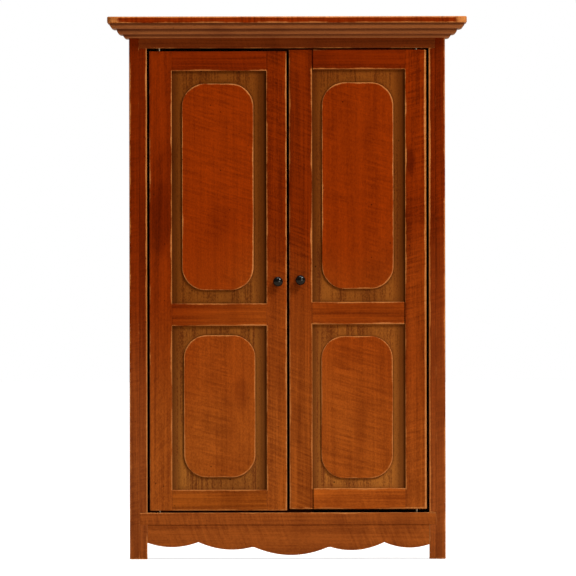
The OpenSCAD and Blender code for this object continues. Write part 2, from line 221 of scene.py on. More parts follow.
def round_arrises(piece, width, wear, segments=3, border=BORDER):
    """Rounds the arrises and writes the wear attribute. wear(middle, normals) gives an edge's
    strength: 1 for an arris that hands reach, and 0 for a glued joint."""
    mesh = bmesh.new()
    mesh.from_mesh(piece.data)
    weights = mesh.edges.layers.float.new("bevel_weight_edge")
    arrises = []
    for edge in mesh.edges:
        if len(edge.link_faces) == 2 and edge.calc_face_angle() > SHARP and edge.is_convex:
            strength = wear(edge_middle(edge), [face.normal for face in edge.link_faces])
            edge[weights] = JOINT_WEIGHT + (1 - JOINT_WEIGHT) * min(1, strength)
            arrises.append((edge.verts[0].co.copy(), edge.verts[1].co.copy(), strength))
    mesh.to_mesh(piece.data)
    mesh.free()
    apply_modifier(piece, "BEVEL", width=width, segments=segments, limit_method="WEIGHT")
    open_edit(piece)
    flat = select(piece, "FACE", lambda face: max(abs(v) for v in face.normal) > 0.9999)
    if flat and border:
        bpy.ops.mesh.inset(thickness=border, depth=0, use_even_offset=True)
    close_edit()
    score(piece, width + border)
    reach = width + border
    values = [
        max([0.0] + [s * (1 - nearest(v.co, a, b) / reach) for a, b, s in arrises])
        for v in piece.data.vertices
    ]
    store(piece, "wear", values)


# %% [markdown]
# Every finished piece carries its grain with it. Its own coordinates are stored as an attribute,
# with the board's length turned to Z and a random shift, so the pattern follows the board when a
# door opens. Plain numbers for the board's tone and for its cross stripes go with them. Then the
# piece rides on its body and stands in for its CAD node. Object coordinates alone would run the
# grain upright through the rails too.


def finish(piece, body, replaced, material, grain="Z", slant=-0.3, tone=None, figure=1.0):
    """Gives a piece its grain direction, its finish and its body. tone is how light its board is,
    and slant and figure are the angle and the strength of its cross stripes."""
    order = {"X": (2, 1, 0), "Y": (2, 0, 1), "Z": (0, 1, 2)}[grain]
    shift = Vector((draw.uniform(-1, 1), draw.uniform(-1, 1), draw.uniform(-1, 1)))
    flow = []
    for vertex in piece.data.vertices:
        flow.extend(vertex.co[axis] + shift[i] for i, axis in enumerate(order))
    layer = piece.data.attributes.new("grain", "FLOAT_VECTOR", "POINT")
    layer.data.foreach_set("vector", flow)
    tone = draw.uniform(-1, 1) if tone is None else tone
    slant += draw.uniform(-0.08, 0.08)
    for label, value in (("tone", tone), ("slant", slant), ("figure", figure)):
        store(piece, label, [value] * len(piece.data.vertices))
    activate(piece)
    bpy.ops.object.shade_smooth_by_angle(angle=SHARP)
    piece.data.materials.clear()
    piece.data.materials.append(material)
    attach(piece, body)
    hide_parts(*replaced)


# %% [markdown]
# ## Shader groups
# Every wooden piece shares the same effects, so each effect is a node group with named inputs: the
# grain of the wood, and the wear along the arrises. A group puts out only colours, masks and
# heights, and each material keeps its own shader. The patterns read the piece's grain attribute,
# which is its own place with the length of the board turned to Z. So one group serves uprights and
# rails, and no two boards share a pattern, because each has its own shift.

# %% Helpers for shader nodes
def add_node(tree, kind, **settings):
    node = tree.nodes.new(kind)
    for key, value in settings.items():
        setattr(node, key, value)
    return node


def feed(tree, socket, source):
    """Joins a source to a socket: another socket, or a plain value."""
    if isinstance(source, bpy.types.NodeSocket):
        tree.links.new(source, socket)
    else:
        socket.default_value = source


def calc(tree, operation, *values, clamp=False):
    node = add_node(tree, "ShaderNodeMath", operation=operation, use_clamp=clamp)
    for socket, value in zip(node.inputs, values):
        feed(tree, socket, value)
    return node.outputs[0]


def centred(tree, pattern, strength):
    """A pattern of 0 to 1, moved to swing about 0 and scaled by a strength."""
    return calc(tree, "MULTIPLY", calc(tree, "SUBTRACT", pattern, 0.5), strength)


def ramp(tree, value, low, high, to_low=0.0, to_high=1.0):
    """Smoothly maps low..high to to_low..to_high."""
    node = add_node(tree, "ShaderNodeMapRange", interpolation_type="SMOOTHSTEP")
    for name, source in (("Value", value), ("From Min", low), ("From Max", high),
                         ("To Min", to_low), ("To Max", to_high)):
        feed(tree, node.inputs[name], source)
    return node.outputs[0]


def new_material(name):
    """A material with an empty node tree."""
    material = bpy.data.materials.new(name)
    material.use_nodes = True
    material.node_tree.nodes.clear()
    return material, material.node_tree


def finish_shader(tree, shader, height, strength, distance):
    """Gives a shader its bump and joins it to the output."""
    bump = add_node(tree, "ShaderNodeBump")
    bump.inputs["Strength"].default_value = strength
    bump.inputs["Distance"].default_value = distance
    feed(tree, bump.inputs["Height"], height)
    feed(tree, shader.inputs["Normal"], bump.outputs[0])
    output = add_node(tree, "ShaderNodeOutputMaterial")
    feed(tree, output.inputs["Surface"], shader.outputs[0])


def mix(tree, share, first, second, blend="MIX"):
    node = add_node(tree, "ShaderNodeMix", data_type="RGBA", blend_type=blend)
    feed(tree, node.inputs["Factor"], share)
    feed(tree, node.inputs["A"], first)
    feed(tree, node.inputs["B"], second)
    return node.outputs["Result"]


# %% Helpers for patterns and groups
def noise(tree, vector, stretch, detail=3.0, rough=0.55, turn=0.0, warp=0.0):
    """Noise on a vector that is first turned and stretched. Stretch is in patterns a metre."""
    place = add_node(tree, "ShaderNodeMapping", vector_type="POINT")
    place.inputs["Scale"].default_value = stretch
    if turn:
        first = add_node(tree, "ShaderNodeMapping", vector_type="POINT")
        first.inputs["Rotation"].default_value = (0, turn, 0)
        feed(tree, first.inputs["Vector"], vector)
        vector = first.outputs[0]
    feed(tree, place.inputs["Vector"], vector)
    node = add_node(tree, "ShaderNodeTexNoise", noise_dimensions="3D")
    node.inputs["Scale"].default_value = 1.0
    node.inputs["Detail"].default_value = detail
    node.inputs["Roughness"].default_value = rough
    node.inputs["Distortion"].default_value = warp
    feed(tree, node.inputs["Vector"], place.outputs[0])
    return node.outputs["Fac"]


def for_camera(tree, seen, other):
    """Mixes two shaders: seen is for what the camera sees, and other for all other rays."""
    both = add_node(tree, "ShaderNodeMixShader")
    feed(tree, both.inputs[0], add_node(tree, "ShaderNodeLightPath").outputs["Is Camera Ray"])
    feed(tree, both.inputs[1], other.outputs[0])
    feed(tree, both.inputs[2], seen.outputs[0])
    return both.outputs[0]


def new_group(name, inputs, outputs):
    """A shader node group with named sockets. Returns its tree and its input and output nodes."""
    tree = bpy.data.node_groups.new(name, "ShaderNodeTree")
    for label, kind, value in inputs:
        socket = tree.interface.new_socket(name=label, in_out="INPUT", socket_type="NodeSocket" + kind)
        if value is not None:
            socket.default_value = value
    for label, kind in outputs:
        tree.interface.new_socket(name=label, in_out="OUTPUT", socket_type="NodeSocket" + kind)
    return tree, add_node(tree, "NodeGroupInput"), add_node(tree, "NodeGroupOutput")


def use_group(tree, group, **sources):
    """Places a group in a tree, with its inputs fed by name (a space is written as _)."""
    node = add_node(tree, "ShaderNodeGroup", node_tree=group)
    for name, source in sources.items():
        feed(tree, node.inputs[name.replace("_", " ")], source)
    return node.outputs


# %% Wood grain group
BAND_SHARE = 0.8  # how strong the broad bands are beside the streaks
GRAIN_CONTRAST = 2.2
PORE_SHADE = 0.45  # how dark a pore is at most
grain_group, grain_in, grain_out = new_group(
    "wood grain",
    [("Vector", "Vector", None), ("Light", "Color", (0.3, 0.06, 0.01, 1)),
     ("Dark", "Color", (0.1, 0.02, 0.004, 1)), ("Streaks", "Float", 0.5),
     ("Figure", "Float", 0.3), ("Pores", "Float", 0.5), ("Grit", "Float", 0.25),
     ("Slant", "Float", 0.3)],
    [("Color", "Color"), ("Height", "Float"), ("Tone", "Float")],
)
tree = grain_group
flow = grain_in.outputs["Vector"]
# Long soft streaks, a few tenths of a millimetre wide, and broader bands between them
streaks = noise(tree, flow, (1500, 1500, 26), detail=4, rough=0.6)
bands = noise(tree, flow, (330, 330, 9), detail=2, warp=0.3)
# The figure: faint slanting stripes across the grain, strong in some patches and weak in others
turned_flow = add_node(tree, "ShaderNodeMapping", vector_type="POINT")
slant = add_node(tree, "ShaderNodeCombineXYZ")
feed(tree, slant.inputs["Y"], grain_in.outputs["Slant"])
feed(tree, turned_flow.inputs["Vector"], flow)
feed(tree, turned_flow.inputs["Rotation"], slant.outputs[0])
stripes = noise(tree, turned_flow.outputs[0], (120, 120, 1350), detail=3, rough=0.6, warp=0.5)
patches = ramp(tree, noise(tree, flow, (90, 90, 34), detail=1), 0.35, 0.6, 0.25, 1.0)
figure = calc(tree, "MULTIPLY", centred(tree, stripes, patches), grain_in.outputs["Figure"])
# Pores: short dark hairlines along the grain
pores = ramp(tree, noise(tree, flow, (5200, 5200, 190), detail=2), 0.62, 0.72)
lines = calc(tree, "ADD", calc(tree, "SUBTRACT", streaks, 0.5),
             centred(tree, bands, BAND_SHARE))
tone = calc(tree, "ADD", calc(tree, "MULTIPLY", lines, grain_in.outputs["Streaks"]), figure)
# Grit: the fine mottling that a brushed stain leaves on sanded wood
grit = noise(tree, flow, (2600, 2600, 1500), detail=3, rough=0.6)
tone = calc(tree, "ADD", tone, centred(tree, grit, grain_in.outputs["Grit"]))
share = calc(tree, "ADD", calc(tree, "MULTIPLY", tone, GRAIN_CONTRAST), 0.5, clamp=True)
pitted = calc(tree, "MULTIPLY", calc(tree, "MULTIPLY", pores, PORE_SHADE),
              grain_in.outputs["Pores"])
share = calc(tree, "SUBTRACT", share, pitted, clamp=True)
wood_colour = mix(tree, share, grain_in.outputs["Dark"], grain_in.outputs["Light"])
feed(tree, grain_out.inputs["Color"], wood_colour)
feed(tree, grain_out.inputs["Tone"], share)
feed(tree, grain_out.inputs["Height"],
     calc(tree, "SUBTRACT", calc(tree, "MULTIPLY", streaks, 0.5),
          calc(tree, "MULTIPLY", pores, 0.6)))
print("wood grain group:", len(tree.nodes), "nodes")

# %% [markdown]
# Wear isn't even: fingers rub one stretch of an arris more than the next. So the wear attribute is
# shifted by a coarse and a fine noise before a narrow ramp cuts it into a mask. The coarse noise
# makes long bare and dark stretches, and the fine one frays the mask's edge.

# %% Wear group
wear_group, wear_in, wear_out = new_group(
    "worn arris",
    [("Vector", "Vector", None), ("Wear", "Float", 0.0), ("Amount", "Float", 0.5)],
    [("Mask", "Float")],
)
tree = wear_group
coarse = noise(tree, wear_in.outputs["Vector"], (260, 260, 90), detail=2)
fine = noise(tree, wear_in.outputs["Vector"], (2600, 2600, 700), detail=3, rough=0.7)
uneven = calc(tree, "ADD", centred(tree, coarse, 1.5), centred(tree, fine, 0.8))
level = calc(tree, "ADD", calc(tree, "ADD", wear_in.outputs["Wear"], uneven),
             calc(tree, "SUBTRACT", wear_in.outputs["Amount"], 1.0))
touched = ramp(tree, wear_in.outputs["Wear"], 0.0, 0.25)
feed(tree, wear_out.inputs["Mask"],
     calc(tree, "MULTIPLY", ramp(tree, level, 0.05, 0.5), touched))
print("worn arris group:", len(tree.nodes), "nodes")

# %% [markdown]
# Here and there stain gathered in a pinhole or on a splinter, as a dark speck. A cell pattern gives
# each cell a random number, and only a few cells hold a speck. Noise alone can't make round dots.

# %% Speck group
speck_group, speck_in, speck_out = new_group(
    "dark specks", [("Vector", "Vector", None), ("Size", "Float", 0.085)], [("Mask", "Float")])
tree = speck_group
cells = add_node(tree, "ShaderNodeTexVoronoi", voronoi_dimensions="3D", feature="F1")
cells.inputs["Scale"].default_value = 330
feed(tree, cells.inputs["Vector"], speck_in.outputs["Vector"])
pick = add_node(tree, "ShaderNodeSeparateColor")
feed(tree, pick.inputs[0], cells.outputs["Color"])
size = calc(tree, "MULTIPLY", speck_in.outputs["Size"],
            ramp(tree, pick.outputs["Green"], 0.0, 1.0, 0.4, 1.6))
dot = ramp(tree, cells.outputs["Distance"], size, calc(tree, "MULTIPLY", size, 0.4))
feed(tree, speck_out.inputs["Mask"],
     calc(tree, "MULTIPLY", dot, ramp(tree, pick.outputs["Red"], 0.8, 0.84, 0.0, 0.8)))
print("dark specks group:", len(tree.nodes), "nodes")

# %% [markdown]
# In three places the stain lies deeper in a soft blotch, over a knot or where the brush rested. The
# blotches are listed one by one: a noise would put them anywhere. Each is a soft ellipse in the plane of
# the doors, and a little noise breaks its outline.

# %% Blotch group
# Each blotch: X and Z of its middle, its half width and half height, all in mm, and its strength
BLOTCHES = [(-40.5, 110, 5.5, 19, 0.75), (39.5, 128, 2.4, 6, 0.8), (-15, 53, 3.6, 7, 0.4)]
blotch_group, blotch_in, blotch_out = new_group(
    "stain blotches", [("Vector", "Vector", None)], [("Mask", "Float")])
tree = blotch_group
axes = add_node(tree, "ShaderNodeSeparateXYZ")
feed(tree, axes.inputs[0], blotch_in.outputs["Vector"])
outline_noise = noise(tree, blotch_in.outputs["Vector"], (300, 300, 160), detail=3)
ragged = centred(tree, outline_noise, 0.7)
mask = 0.0


def squared_reach(position, middle, half_size):
    """Square of the distance from a blotch's middle along one axis, in half sizes."""
    away = calc(tree, "SUBTRACT", position, middle * MM)
    away = calc(tree, "DIVIDE", away, half_size * MM)
    return calc(tree, "POWER", calc(tree, "ABSOLUTE", away), 2.0)


for x, z, half_x, half_z, strength in BLOTCHES:
    squares = calc(tree, "ADD", squared_reach(axes.outputs["X"], x, half_x),
                   squared_reach(axes.outputs["Z"], z, half_z))
    reach = calc(tree, "ADD", calc(tree, "SQRT", squares), ragged)
    mask = calc(tree, "MAXIMUM", ramp(tree, reach, 1.0, 0.35, 0.0, strength), mask)
feed(tree, blotch_out.inputs["Mask"], mask)
print("stain blotches group:", len(tree.nodes), "nodes")

# %% [markdown]
# ## Stained wood
# The wardrobe was brushed with a red-brown spirit stain, and has a thin satin polish. It is darker
# and redder towards the top and lighter and more orange towards the feet: partly the stain, and
# partly painted light, as more light falls on the lower part. Each material takes a colour for the
# top and one for the foot, and mixes them by height. The panels' ground is the same wood in a dull
# olive brown, because the brush left more stain in the hollows.

# %% Stained wood
def colour(red, green, blue):
    return (red, green, blue, 1.0)


BARE = colour(0.5, 0.19, 0.055)  # where the stain has worn off
TONE_STEP = 0.08  # how much lighter a board gets for each unit of its tone
# The colour, partly stain and partly painted light, changes from the foot's to the top's between
# these shares of the height, and a soft cloud shifts the change up and down by this height in all
FOOT_STAIN_AND_LIGHT, TOP_STAIN_AND_LIGHT = 0.05, 0.66
CLOUD_HEIGHT = 0.09


def stained_wood(name, top, foot=None, depth=0.55, streaks=0.5, figure=0.3, pores=0.5, wear=0.5,
                 rough=0.5, border_stain_and_shade=0.0, grit=0.45, blotched=False):
    """A stained wood, of one colour all over if foot is left out; its change towards the foot is partly
    stain and partly painted light. depth is how much darker the dark grain is, and hollow is the
    strength of the gathered stain and painted shade along a panel's border, and of the painted shadow
    bands on the moulding."""
    material, tree = new_material(name)
    flow = add_node(tree, "ShaderNodeAttribute", attribute_name="grain").outputs["Vector"]
    # The wear attribute holds wear on the arrises, and on the panels and the moulding painted shade as well
    worn, lightness, lean, striped = [
        add_node(tree, "ShaderNodeAttribute", attribute_name=label).outputs["Fac"]
        for label in ("wear", "tone", "slant", "figure")
    ]
    place = add_node(tree, "ShaderNodeTexCoord").outputs["Object"]
    split = add_node(tree, "ShaderNodeSeparateXYZ")
    feed(tree, split.inputs[0], place)
    cloud = noise(tree, place, (22, 22, 16), detail=2)
    height = calc(tree, "ADD", split.outputs["Z"], centred(tree, cloud, CLOUD_HEIGHT))
    # Lighter and more orange towards the foot: partly the stain, partly painted light
    up = ramp(tree, height, HEIGHT * FOOT_STAIN_AND_LIGHT, HEIGHT * TOP_STAIN_AND_LIGHT)
    light = mix(tree, up, foot or top, top)
    lighter = calc(tree, "ADD", calc(tree, "MULTIPLY", lightness, TONE_STEP), 1.0)
    light = mix(tree, 1.0, light, lighter, blend="MULTIPLY")
    # Where the brush stopped, the stain pooled in soft darker patches
    pooled = ramp(tree, noise(tree, place, (75, 75, 34), detail=2), 0.5, 0.72, 0.0, 0.38)
    if blotched:
        pooled = calc(tree, "MAXIMUM", pooled, use_group(tree, blotch_group, Vector=place)["Mask"])
    light = mix(tree, pooled, light, mix(tree, 1.0, light, colour(0.45, 0.3, 0.4), blend="MULTIPLY"))
    dark = mix(tree, 1.0, light, colour(1 - depth, 1 - depth * 1.15, 1 - depth), blend="MULTIPLY")
    wood = use_group(tree, grain_group, Vector=flow, Light=light, Dark=dark, Streaks=streaks,
                     Figure=calc(tree, "MULTIPLY", striped, figure), Pores=pores, Grit=grit, Slant=lean)
    mask = use_group(tree, wear_group, Vector=flow, Wear=worn, Amount=wear)["Mask"]
    base = wood["Color"]
    # Along a border the colour darkens: gathered stain and painted shade on the panels, painted shadow on
    # the moulding
    if border_stain_and_shade:
        ragged_shade_and_stain = calc(tree, "ADD", worn, centred(tree, wood["Tone"], 0.9))
        stain_and_shade_level = calc(tree, "MULTIPLY", ramp(tree, ragged_shade_and_stain, 0.2, 1.0), border_stain_and_shade)
        base = mix(tree, stain_and_shade_level, base, mix(tree, 1.0, light, colour(0.3, 0.24, 0.3), blend="MULTIPLY"))
    else:
        bare = mix(tree, wood["Tone"], colour(0.33, 0.1, 0.018), BARE)
        base = mix(tree, mask, base, bare)
    specks = use_group(tree, speck_group, Vector=place)["Mask"]
    base = mix(tree, specks, base, mix(tree, 1.0, base, colour(0.12, 0.09, 0.1), blend="MULTIPLY"))
    shader = add_node(tree, "ShaderNodeBsdfPrincipled")
    feed(tree, shader.inputs["Base Color"], base)
    feed(tree, shader.inputs["Roughness"],
         calc(tree, "ADD", calc(tree, "MULTIPLY", wood["Tone"], -0.1), rough + 0.05))
    shader.inputs["IOR"].default_value = 1.2
    shader.inputs["Specular Tint"].default_value = colour(1, 0.35, 0.03)
    finish_shader(tree, shader, wood["Height"], 0.55, 0.06 * MM)
    return material


frame_wood = stained_wood("frame_wood", colour(0.19, 0.018, 0.0006), colour(0.29, 0.071, 0.013),
                          streaks=0.8, figure=0.6, wear=0.65)
apron_wood = stained_wood("apron_wood", colour(0.32, 0.08, 0.012),
                          streaks=0.55, figure=0.6, wear=0.55)
door_wood = stained_wood("door_wood", colour(0.22, 0.0225, 0.0006), colour(0.36, 0.089, 0.011),
                         streaks=0.75, figure=0.85, wear=0.65, grit=0.6, blotched=True)
rail_wood = stained_wood("rail_wood", colour(0.195, 0.0185, 0.0006), colour(0.39, 0.094, 0.01),
                         streaks=1.0, figure=0.35, wear=0.65)
field_wood = stained_wood("field_wood", colour(0.26, 0.0285, 0.0008), colour(0.36, 0.087, 0.01),
                          depth=0.45, streaks=0.45, figure=0.9, wear=0.7, grit=0.75, blotched=True)
hollow_wood = stained_wood("hollow_wood", colour(0.24, 0.067, 0.008), colour(0.38, 0.138, 0.022),
                           depth=0.65, streaks=0.9, figure=0.0, border_stain_and_shade=0.9, grit=0.8)
# A light colour: partly the moulding's own paler stain, partly painted light that lifts its beads out of
# the shade under the slab. With its border strength, the bead bands of the wear attribute become painted
# shadow.
cornice_wood = stained_wood("cornice_wood", colour(0.4, 0.15, 0.046),
                            streaks=0.5, figure=0.3, border_stain_and_shade=1.0)
slab_wood = stained_wood("slab_wood", colour(0.23, 0.022, 0.0006),
                         streaks=0.6, figure=1.5, wear=0.95)
frieze_wood = stained_wood("frieze_wood", colour(0.2, 0.039, 0.007),
                           streaks=0.8, figure=0.3, wear=0.4)
inside_wood = stained_wood("inside_wood", colour(0.2, 0.06, 0.015), colour(0.22, 0.07, 0.02),
                           depth=0.45, figure=0.1, wear=0.3, rough=0.6)
# Nearly black: painted shade, so that the door stops seen through the gaps round the doors look as dark as
# shade
shade_dark_stop_wood = stained_wood("shade_dark_stop_wood", colour(0.03, 0.008, 0.003),
                         figure=0.1, wear=0.1, rough=0.6)
woods = [frame_wood, apron_wood, door_wood, rail_wood, field_wood, hollow_wood, cornice_wood, slab_wood,
         frieze_wood, inside_wood, shade_dark_stop_wood]
print("woods:", [wood.name for wood in woods])

# %% [markdown]
# ## Side boards and posts
# Each side board stands on the floor on two feet, with a low arch cut between them. A boolean could
# cut the arch. Here the board's outline is a strip with many columns, and the lower end of each
# column is lifted to the arch, which keeps the mesh clean for the bevel. The same way makes the
# scalloped apron. The board first ends at the rabbet that takes the back board. Then its rear face
# is bisected at the rabbet's wall, and the outer part is extruded to the full depth.

# %% Boards with a shaped lower edge
def shaped_board(name, low, high, run, columns, foot):
    """A board whose lower edge follows foot(share), with share from 0 to 1 along the axis run."""
    low, high = Vector(low), Vector(high)
    piece = add_block(name, low, high)
    across = 1 - run
    open_edit(piece, "EDGE")
    select(piece, "EDGE", lambda edge: abs((edge.verts[0].co - edge.verts[1].co)[run]) > 1e-6)
    bpy.ops.mesh.subdivide(number_cuts=columns - 1)
    close_edit()
    length = high[run] - low[run]
    for vertex in piece.data.vertices:
        if vertex.co.z < (low.z + high.z) / 2:
            vertex.co.z = foot((vertex.co[run] - low[run]) / length)
    print(name, "columns:", columns, "thickness:", round((high[across] - low[across]) / MM, 2), "mm")
    return piece


def side_foot(share):
    """Height of a side board's arch over the floor, from front to back."""
    across = (share - 0.5) * depth
    if abs(across) >= depth / 2 - FOOT_LENGTH:
        return 0.0
    return math.sqrt(arch_radius ** 2 - across ** 2) + ARCH_HEIGHT - arch_radius


FOOT_LENGTH = 9 * MM
ARCH_HEIGHT = 4.2 * MM
RABBET_PLAY = 0.05 * MM  # between the back board's edge and the rabbet's wall
SIDE_COLUMNS = 50  # each wider than the worn border, which would fold over otherwise
SHELTERED_WEAR = 0.35  # along the inside and at the rabbet
POST_SLANT = 0.25  # of the cross stripes on the sides and the strips
SIDE_TONES = {"left": -0.9, "right": -0.5}
back_low, back_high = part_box("back_board")
rabbet_y = back_low.y
side_low, side_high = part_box("side_left")
depth = side_high.y - side_low.y
half_chord = depth / 2 - FOOT_LENGTH
arch_radius = (half_chord ** 2 + ARCH_HEIGHT ** 2) / (2 * ARCH_HEIGHT)
for side in ("left", "right"):
    low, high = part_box("side_" + side)
    inner_x = high.x if side == "left" else low.x
    wall_x = back_low.x - RABBET_PLAY if side == "left" else back_high.x + RABBET_PLAY

    def side_wear(middle, normals, inner_x=inner_x, wall_x=wall_x, top=high.z):
        if top - middle.z < 1 * MM:
            return 0.0
        at_rabbet = abs(middle.x - wall_x) < 0.01 * MM < middle.z
        return SHELTERED_WEAR if at_rabbet or abs(middle.x - inner_x) < NEAR else 1.0

    piece = shaped_board("side_board_" + side, low, (high.x, rabbet_y, high.z), 1, SIDE_COLUMNS,
                         lambda share: side_foot(share * (rabbet_y - side_low.y) / depth))
    open_edit(piece)
    select(piece, "FACE", lambda face: looks(face, 1, 1))
    bpy.ops.mesh.bisect(plane_co=(wall_x, 0, 0), plane_no=(1, 0, 0))
    select(piece, "FACE", lambda face: looks(face, 1, 1) and abs(face.calc_center_median().x) > abs(wall_x))
    bpy.ops.mesh.extrude_region_move(TRANSFORM_OT_translate={"value": (0, high.y - rabbet_y, 0)})
    close_edit()
    round_arrises(piece, 0.3 * MM, side_wear)
    finish(piece, "carcass", ["side_" + side], frame_wood, slant=POST_SLANT, tone=SIDE_TONES[side])

# %% [markdown]
# Inside each side board runs a narrow strip beside the door, and a short one below the bottom rail
# makes the leg. Their outer edge is glued to the side board, and their inner front arris is worn.

# %% Strips, rails and inner boards
def board(name, node, body, material, width=0.25 * MM, grain="Z", joined="", low=None, high=None,
          soft=1.0, slant=-0.3):
    """A plain board in the place of a CAD node. joined names the faces that are glued to a
    neighbour, such as "-x+x"."""
    box_low, box_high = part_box(node)
    low, high = Vector(low or box_low), Vector(high or box_high)
    glued = [("xyz".index(joined[i + 1]), 1 if joined[i] == "+" else -1) for i in range(0, len(joined), 2)]

    def wear(middle, normals):
        touching = any(n[axis] * sign > 0.9 for n in normals for axis, sign in glued)
        return 0.0 if touching else soft

    piece = add_block(name, low, high)
    round_arrises(piece, width, wear)
    finish(piece, body, [node], material, grain, slant)
    return piece


STRIP_WEAR = {"left": 1.3, "right": 1.8}
for side, outer in (("left", "-x"), ("right", "+x")):
    board("post_strip_" + side, "front_strip_" + side, "carcass", frame_wood, joined=outer + "+z-z",
          soft=STRIP_WEAR[side], slant=POST_SLANT)
    board("leg_" + side, "leg_strip_" + side, "carcass", frame_wood, joined=outer + "+z")
    board("shelf_cleat_piece_" + side, "shelf_cleat_" + side, "carcass", inside_wood, grain="Y",
          joined=outer + "+z+y")
board("frieze", "frieze_rail", "carcass", frieze_wood, grain="X", joined="-x+x+z")
board("rail_under_doors", "bottom_rail", "carcass", apron_wood, grain="X", joined="-x+x-z")
board("floor", "floor_board", "carcass", inside_wood, grain="X", joined="-x+x-y+y", soft=0.4)
board("hat_shelf", "shelf", "carcass", inside_wood, grain="X", joined="-x+x+y")
board("upper_stop", "door_stop_upper", "carcass", shade_dark_stop_wood, grain="X", joined="+z")
board("lower_stop", "door_stop_lower", "carcass", shade_dark_stop_wood, grain="X", joined="-z")

# %% [markdown]
# ## Apron
# The apron under the doors was cut with a fret saw, freehand: its five lobes are not quite alike.
# Each lobe is a shallow arc between two points of the edge.

# %% Apron
# Where the lobes meet, as shares of the width, with their heights over the floor in mm, and how far
# each lobe hangs below the line between its ends
APRON_POINTS = [(0, 5.3), (0.18, 5.5), (0.375, 4.0), (0.645, 4.0), (0.84, 5.4), (1, 4.7)]
APRON_DEPTHS = [1.5, 1.6, 2.7, 1.8, 1.4]


def apron_foot(share):
    """Height of the apron's lower edge over the floor, at a share of its width."""
    for (x0, z0), (x1, z1), sag in zip(APRON_POINTS, APRON_POINTS[1:], APRON_DEPTHS):
        if share <= x1 + 1e-6:
            t = (share - x0) / (x1 - x0)
            return (z0 + (z1 - z0) * t - 4 * sag * t * (1 - t)) * MM
    return APRON_POINTS[-1][1] * MM


def apron_wear(middle, normals):
    """Only the scalloped edge is free: the ends and the top are glued."""
    return 1.0 if middle.z < 8 * MM and max(abs(n.x) for n in normals) < 0.9 else 0.0


low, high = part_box("apron")
piece = shaped_board("apron_board", low, high, 0, 100, apron_foot)
round_arrises(piece, 0.22 * MM, apron_wear)
finish(piece, "carcass", ["apron"], apron_wood, grain="X")

# %% [markdown]
# ## Top slab
# The slab on top has two rounded front corners. In plan they are part of the outline, so the two
# upright corner edges are bevelled first, by the corner's radius, and the arrises are rounded after.

# %% Top slab
SLAB_CORNER = 1.8 * MM
SLAB_RUB = 4 * MM  # how far from its front corners the slab is rubbed


def free_edge(middle, normals):
    """All round the slab, least at the back and most along the top."""
    if any(n.y > 0.9 for n in normals):
        return 0.5
    return 1.7 if any(n.z > 0.9 for n in normals) else 0.8


low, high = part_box("top_slab")
piece = add_block("slab", low, high)
open_edit(piece, "EDGE")
select(piece, "EDGE", lambda e: abs(e.verts[0].co.z - e.verts[1].co.z) > 1e-4 and edge_middle(e).y < 0)
bpy.ops.mesh.bevel(offset=SLAB_CORNER, segments=6, affect="EDGES")
close_edit()
round_arrises(piece, 0.38 * MM, free_edge, border=0.12 * MM)
# Hands carry the wardrobe by the slab's front corners, so the stain has gone there
score(piece, SLAB_RUB)
rub = piece.data.attributes["wear"].data
for vertex in piece.data.vertices:
    to_corner = math.hypot(high.x - abs(vertex.co.x), vertex.co.y - low.y)
    rub[vertex.index].value = max(rub[vertex.index].value, 1.2 * (1 - to_corner / SLAB_RUB))
finish(piece, "carcass", ["top_slab"], slab_wood, grain="X", slant=0.0)
print("slab:", len(piece.data.polygons), "faces")

# %% [markdown]
# ## Cornice moulding
# The moulding is one stick with three beads, cut in three and mitred at the corners. Its section is
# drawn as a maker would scribe it: one vertex is extruded along the flats and spun round the
# quarter-round of each bead. The section is then filled and extruded along the length, and a bisect
# cuts each mitre.

# %% Section of the moulding
# Each bead, from below: projection as a share of the width, then, as shares of the height, where it
# starts, its quarter-round's radius, and the height above which it lies in painted shade, the shadow
# of the bead or the slab above it
BEADS = [(0.31, 0.0, 0.24, 0.13), (0.63, 0.25, 0.31, 0.49), (1.0, 0.62, 0.333, 0.9)]
FILLET = 0.06  # the moulding's foot, as a share of the width
ARC_STEPS = 9
moulding_low, moulding_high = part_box("cornice_front")
mould_h = moulding_high.z - moulding_low.z
mould_w = front_y - moulding_low.y


def start_outline(name, place):
    """Opens a new piece in edit mode, with one selected vertex at a place."""
    bpy.ops.object.select_all(action="DESELECT")
    bpy.ops.mesh.primitive_plane_add(size=1 * MM, location=place)
    bpy.ops.object.transform_apply(location=True)
    piece = bpy.context.object
    piece.name = piece.data.name = name
    open_edit(piece, "VERT")
    bpy.ops.mesh.select_all(action="SELECT")
    bpy.ops.mesh.merge(type="CENTER")
    return piece


def draw_section(name):
    """Scribes the section in the plane X = 0, as one face that looks along +X or -X."""
    piece = start_outline(name, (0, front_y, moulding_low.z))
    spot = [0.0, 0.0]  # how far out and how far up the last vertex is

    def line_to(out, up):
        step = (0, -(out - spot[0]) * mould_w, (up - spot[1]) * mould_h)
        if abs(step[1]) + abs(step[2]) > 1e-7:
            bpy.ops.mesh.extrude_vertices_move(TRANSFORM_OT_translate={"value": step})
        spot[:] = [out, up]

    line_to(FILLET, 0)
    for out, start, radius, stain_and_shade_level in BEADS:
        line_to(spot[0], start)
        r = radius * mould_h / mould_w  # the radius as a share of the width
        line_to(out - r, start)
        centre = (0, front_y - (out - r) * mould_w, moulding_low.z + (start + radius) * mould_h)
        bpy.ops.mesh.spin(steps=ARC_STEPS, angle=math.pi / 2, center=centre, axis=(1, 0, 0))
        spot[:] = [out, start + radius]
        turned = bmesh.from_edit_mesh(piece.data)
        last = [v.co.copy() for v in turned.verts if v.select][0]
        if abs(last.z - (moulding_low.z + spot[1] * mould_h)) > 0.01 * MM:
            raise SystemExit("the bead turned the wrong way")
    line_to(1, 1)
    line_to(0, 1)
    bpy.ops.mesh.select_all(action="SELECT")
    bpy.ops.mesh.edge_face_add()
    close_edit()
    return piece


